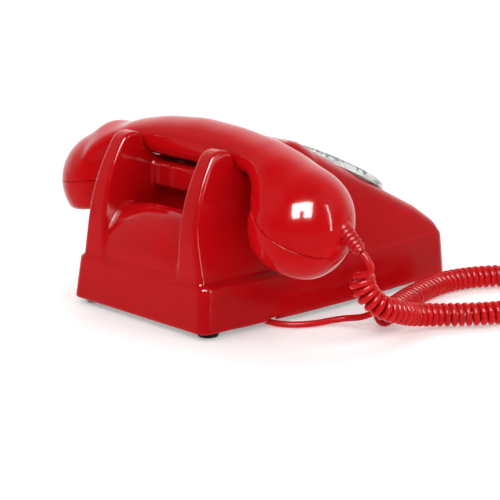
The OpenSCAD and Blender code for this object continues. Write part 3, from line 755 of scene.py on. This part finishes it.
stop = solid("finger_stop_chrome", stop_field, (22, -5, 3), (47, 5, 8.5), 0.35,
             dial_place @ Matrix.Rotation(math.radians(STOP_TURN), 4, "Z"))
dress(stop, chrome, "set", "chrome_trim", "finger_stop")

# Ring characters: numbers, with three strokes where a dial may have small print
CHARACTER_AT = (0, 42.1, 3.1)
CHARACTER_TIP = 11
CHARACTER_DEPTH = 1.3
DIGIT_SIZE, STROKE_SIZE = 4.2, 2.9
DIGIT_SHIFT, STROKE_SHIFT = -5.2, 3.4
CHARACTERS = ["1", "||| 2", "||| 3", "||| 4", "||| 5", "||| 6", "||| 7", "||| 8", "||| 9", "0"]


def text_mesh(words, size):
    """Points and faces of solid characters."""
    data = bpy.data.curves.new("words", "FONT")
    data.body, data.size = words, size
    data.align_x, data.align_y = "CENTER", "CENTER"
    data.extrude, data.resolution_u = CHARACTER_DEPTH, 3
    holder = bpy.data.objects.new("words", data)
    scene.collection.objects.link(holder)
    bpy.context.view_layer.update()
    mesh = bpy.data.meshes.new_from_object(holder.evaluated_get(bpy.context.evaluated_depsgraph_get()))
    points = [tuple(v.co) for v in mesh.vertices]
    faces = [tuple(f.vertices) for f in mesh.polygons]
    bpy.data.objects.remove(holder)
    bpy.data.meshes.remove(mesh)
    return points, faces


def ring_characters():
    """Small upright characters on the ring's sloping top, one group beside each finger hole."""
    points, faces = [], []
    tip = math.radians(CHARACTER_TIP)
    for words, angle in zip(CHARACTERS, HOLE_ANGLES):
        parts = words.split()
        for k, part in enumerate(parts):
            digit = k == len(parts) - 1
            turn = angle if len(parts) == 1 else angle + (DIGIT_SHIFT if digit else STROKE_SHIFT)
            text_points, text_faces = text_mesh(part, DIGIT_SIZE if digit else STROKE_SIZE)
            lean = (Matrix.Rotation(math.radians(turn - 90), 4, "Z") @ Matrix.Translation(CHARACTER_AT)
                    @ Matrix.Rotation(tip, 4, "X"))
            faces += [tuple(i + len(points) for i in f) for f in text_faces]
            points += [tuple(lean @ Vector(p)) for p in text_points]
    return add_mesh("ring_characters", points, faces, dial_place)


characters = ring_characters()
characters.data.polygons.foreach_set("use_smooth", [False] * len(characters.data.polygons))
dress(characters, ink, "set", "black_plastic")

# Feet --------------------------------------------------------------------------------------
FEET = {"foot_rear_left": (-53, 98.5), "foot_rear_right": (53, 98.5),
        "foot_front_left": (-49, -97.5), "foot_front_right": (49, -97.5)}
for node, (x, y) in FEET.items():
    pad = spin(node + "_pad", filleted([
        (2.2, 0.7), (4.4, 0), (5.8, 0), (6.4, 1.0), (5.9, 3.2), (3.4, 3.3), (3.4, 5.2)], 0.5)
        + [(0, 5.2), (0, 0.7)], Matrix.Translation((x, y, 0)), 64)
    dress(pad, rubber, "set", "foot_rubber", node)

# CAD parts that show as they are -----------------------------------------------------------
NODE_BEVEL = 0.25
for name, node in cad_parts.items():
    if node.hide_render:
        continue
    was = node.data.materials[0].name.split(".")[0] if node.data.materials else ""
    look = SLOT_LOOKS.get(was, steel)
    if not node.data.materials:
        node.data.materials.append(look)
    for k in range(len(node.data.materials)):
        node.data.materials[k] = look
    edge = node.modifiers.new("edge", "BEVEL")
    edge.width, edge.segments, edge.limit_method = NODE_BEVEL * MM, 2, "ANGLE"
    edge.angle_limit = math.radians(50)
    edge.harden_normals = False

# Floor and light ---------------------------------------------------------------------------
FLOOR_RINGS, FLOOR_SIDES = (0.5, 2, 8, 30), 48


def make_floor():
    """A wide pale disc, in metres."""
    rings, sides = FLOOR_RINGS, FLOOR_SIDES
    points = [(0, 0, 0)]
    faces = []
    for r in rings:
        points += [(r * math.cos(2 * math.pi * k / sides), r * math.sin(2 * math.pi * k / sides), 0)
                   for k in range(sides)]
    for k in range(sides):
        m = (k + 1) % sides
        faces.append((0, 1 + k, 1 + m))
        for i in range(len(rings) - 1):
            a, b = 1 + i * sides, 1 + (i + 1) * sides
            faces.append((a + k, b + k, b + m, a + m))
    mesh = bpy.data.meshes.new("floor")
    mesh.from_pydata(points, [], faces)
    floor = bpy.data.objects.new("floor", mesh)
    scene.collection.objects.link(floor)
    floor.data.materials.append(material("floor_white", (0.86, 0.86, 0.86), rough=(0.5, 0.6), shade=0.01,
                                         bump=0.0, Emission_Strength=0.3))
    floor.visible_glossy = False


make_floor()


def light(name, turn, dip, distance, width, tall, strength, aside=0.0, raised=0.0, **seen):
    """A soft rectangular light that looks at the telephone; turn and dip are as for the camera."""
    data = bpy.data.lights.new(name, "AREA")
    data.shape, data.size, data.size_y = "RECTANGLE", width, tall
    data.energy = strength
    lamp = bpy.data.objects.new(name, data)
    way = direction(turn, dip)
    across = way.cross(Vector((0, 0, 1))).normalized()
    lamp.location = Vector((0, 0, 0.06)) - way * distance + across * aside + across.cross(way) * raised
    lamp.rotation_mode = "QUATERNION"
    lamp.rotation_quaternion = way.to_track_quat("-Z", "Y")
    for kind, shown in seen.items():
        setattr(lamp, kind, shown)
    scene.collection.objects.link(lamp)


WINDOW_DIP = 40
SHINE = {"visible_diffuse": False}
FILL = {"visible_glossy": False}
light("window_top", CAMERA_TURN, WINDOW_DIP, 2.4, 1.66, 0.6, 80, raised=0.25, **SHINE)
light("window_left", CAMERA_TURN, WINDOW_DIP, 2.4, 0.66, 0.5, 26, aside=-0.5, raised=-0.3, **SHINE)
light("window_right", CAMERA_TURN, WINDOW_DIP, 2.4, 0.66, 0.5, 26, aside=0.5, raised=-0.3, **SHINE)
light("strip", CAMERA_TURN - 62, 16, 2.4, 0.12, 1.7, 9, **SHINE)
light("room", CAMERA_TURN, 40, 2.4, 2.0, 1.4, 36, **FILL)
light("side", CAMERA_TURN + 80, 40, 2.4, 1.6, 1.6, 22, **FILL)
light("other_side", CAMERA_TURN - 75, 40, 2.4, 1.6, 1.6, 24, **FILL)
light("back", CAMERA_TURN + 180, 50, 2.6, 2.4, 1.6, 26, **FILL)


# How bright the surroundings are above and below the horizon, from the far side of the
# telephone (0) to the camera's side (1)
ROOM_LEVELS = [(0.0, 1.0), (0.15, 0.9), (0.32, 0.3), (0.5, 0.12), (0.72, 0.02), (1.0, 0.01)]
TABLE_LEVELS = [(0.0, 1.0), (0.1, 0.8), (0.25, 0.25), (0.5, 0.13), (0.75, 0.05), (1.0, 0.03)]


def make_world():
    """White behind the telephone, and darker round the camera, as in a room with a white sweep."""
    world = bpy.data.worlds.new("world")
    world.use_nodes = True
    scene.world = world
    nodes, links = world.node_tree.nodes, world.node_tree.links
    background = nodes["Background"]
    place = nodes.new("ShaderNodeTexCoord")

    def dot(vector):
        made = nodes.new("ShaderNodeVectorMath")
        made.operation = "DOT_PRODUCT"
        made.inputs[1].default_value = vector
        links.new(place.outputs["Generated"], made.inputs[0])
        return made.outputs["Value"]

    def ramp(source, stops):
        made = nodes.new("ShaderNodeValToRGB")
        while len(made.color_ramp.elements) < len(stops):
            made.color_ramp.elements.new(0.5)
        for element, (position, level) in zip(made.color_ramp.elements, stops):
            element.position = position
            element.color = (level, level, level, 1)
        links.new(source, made.inputs["Fac"])
        return made.outputs["Color"]

    toward = nodes.new("ShaderNodeMath")
    toward.operation = "MULTIPLY_ADD"
    links.new(dot(-direction(CAMERA_TURN, 5)), toward.inputs[0])
    toward.inputs[1].default_value = toward.inputs[2].default_value = 0.5
    room = ramp(toward.outputs["Value"], ROOM_LEVELS)
    table = ramp(toward.outputs["Value"], TABLE_LEVELS)
    side = ramp(dot((0, 0, 1)), [(0.0, 0.0), (0.02, 1.0)])
    mix = nodes.new("ShaderNodeMix")
    mix.data_type = "RGBA"
    links.new(side, mix.inputs["Factor"])
    links.new(table, mix.inputs["A"])
    links.new(room, mix.inputs["B"])
    links.new(mix.outputs["Result"], background.inputs["Color"])
    background.inputs["Strength"].default_value = 1.0


make_world()
scene.view_settings.view_transform = "Standard"
